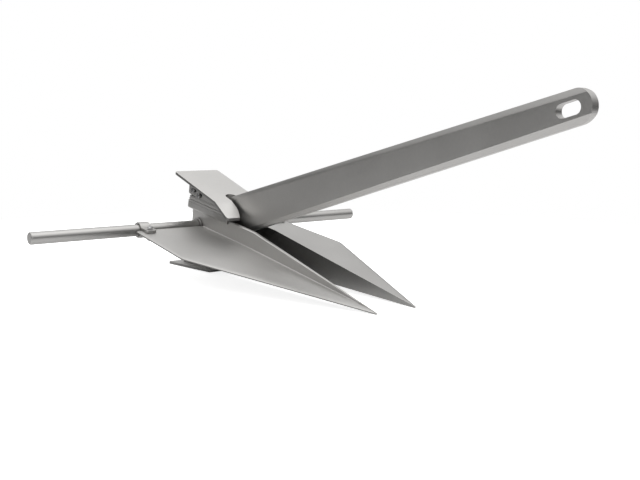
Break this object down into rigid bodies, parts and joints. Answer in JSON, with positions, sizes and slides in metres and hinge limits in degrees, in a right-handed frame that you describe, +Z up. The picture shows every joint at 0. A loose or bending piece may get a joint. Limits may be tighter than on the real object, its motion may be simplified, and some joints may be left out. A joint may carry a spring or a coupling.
{
  "type": "boat anchor",
  "caption": "Light alloy boat anchor with two flat pointed flukes, a round cross bar, a boxed crown with bent palms, and a long bevelled shank that swings about the bar to either side.",
  "frame": {"origin": "middle of the underside of the whole anchor's bounding box, on the floor it stands on", "axes": "+X along the stock, +Y forward from the crown towards the fluke tips and the shank's eye, +Z up"},
  "size_m": [0.66, 0.8472, 0.3013],
  "materials": {
    "anodised_plate": "fine matte anodised plate and extrusion, light grey",
    "anodised_bar": "satin drawn bar and clips, light grey",
    "stainless": "bright stainless fasteners",
    "nylon": "dark nylon sleeve and insulating washers"
  },
  "bodies": {
    "crown_and_flukes": {"clip_bolt_left": "stainless", "clip_bolt_right": "stainless", "clip_nut_left": "stainless", "clip_nut_right": "stainless", "clip_washer_lower_left": "stainless", "clip_washer_lower_right": "stainless", "clip_washer_upper_left": "stainless", "clip_washer_upper_right": "stainless", "crown_bolt_left_bottom_1": "stainless", "crown_bolt_left_bottom_2": "stainless", "crown_bolt_left_top_1": "stainless", "crown_bolt_left_top_2": "stainless", "crown_bolt_right_bottom_1": "stainless", "crown_bolt_right_bottom_2": "stainless", "crown_bolt_right_top_1": "stainless", "crown_bolt_right_top_2": "stainless", "crown_nut_left_bottom_1": "stainless", "crown_nut_left_bottom_2": "stainless", "crown_nut_left_top_1": "stainless", "crown_nut_left_top_2": "stainless", "crown_nut_right_bottom_1": "stainless", "crown_nut_right_bottom_2": "stainless", "crown_nut_right_top_1": "stainless", "crown_nut_right_top_2": "stainless", "crown_rail_left_bottom": "anodised_plate", "crown_rail_left_top": "anodised_plate", "crown_rail_right_bottom": "anodised_plate", "crown_rail_right_top": "anodised_plate", "crown_washer_left_bottom_1": "nylon", "crown_washer_left_bottom_2": "nylon", "crown_washer_left_top_1": "nylon", "crown_washer_left_top_2": "nylon", "crown_washer_right_bottom_1": "nylon", "crown_washer_right_bottom_2": "nylon", "crown_washer_right_top_1": "nylon", "crown_washer_right_top_2": "nylon", "fluke_left": "anodised_plate", "fluke_right": "anodised_plate", "palm_bottom": "anodised_plate", "palm_flange_left_bottom": "anodised_plate", "palm_flange_left_top": "anodised_plate", "palm_flange_right_bottom": "anodised_plate", "palm_flange_right_top": "anodised_plate", "palm_top": "anodised_plate", "stock": "anodised_bar", "stock_bush_left": "anodised_bar", "stock_bush_right": "anodised_bar", "stock_clip_left": "anodised_bar", "stock_clip_right": "anodised_bar"},
    "shank": {"shank": "anodised_plate", "pivot_sleeve": "nylon"}
  },
  "joints": [
    {"name": "shank_pivot", "type": "hinge", "parent": "crown_and_flukes", "child": "shank", "pos_m": [0, -0.35175, 0.07502], "axis": [1, 0, 0], "range_deg": [-48.7, 0.5]}
  ]
}
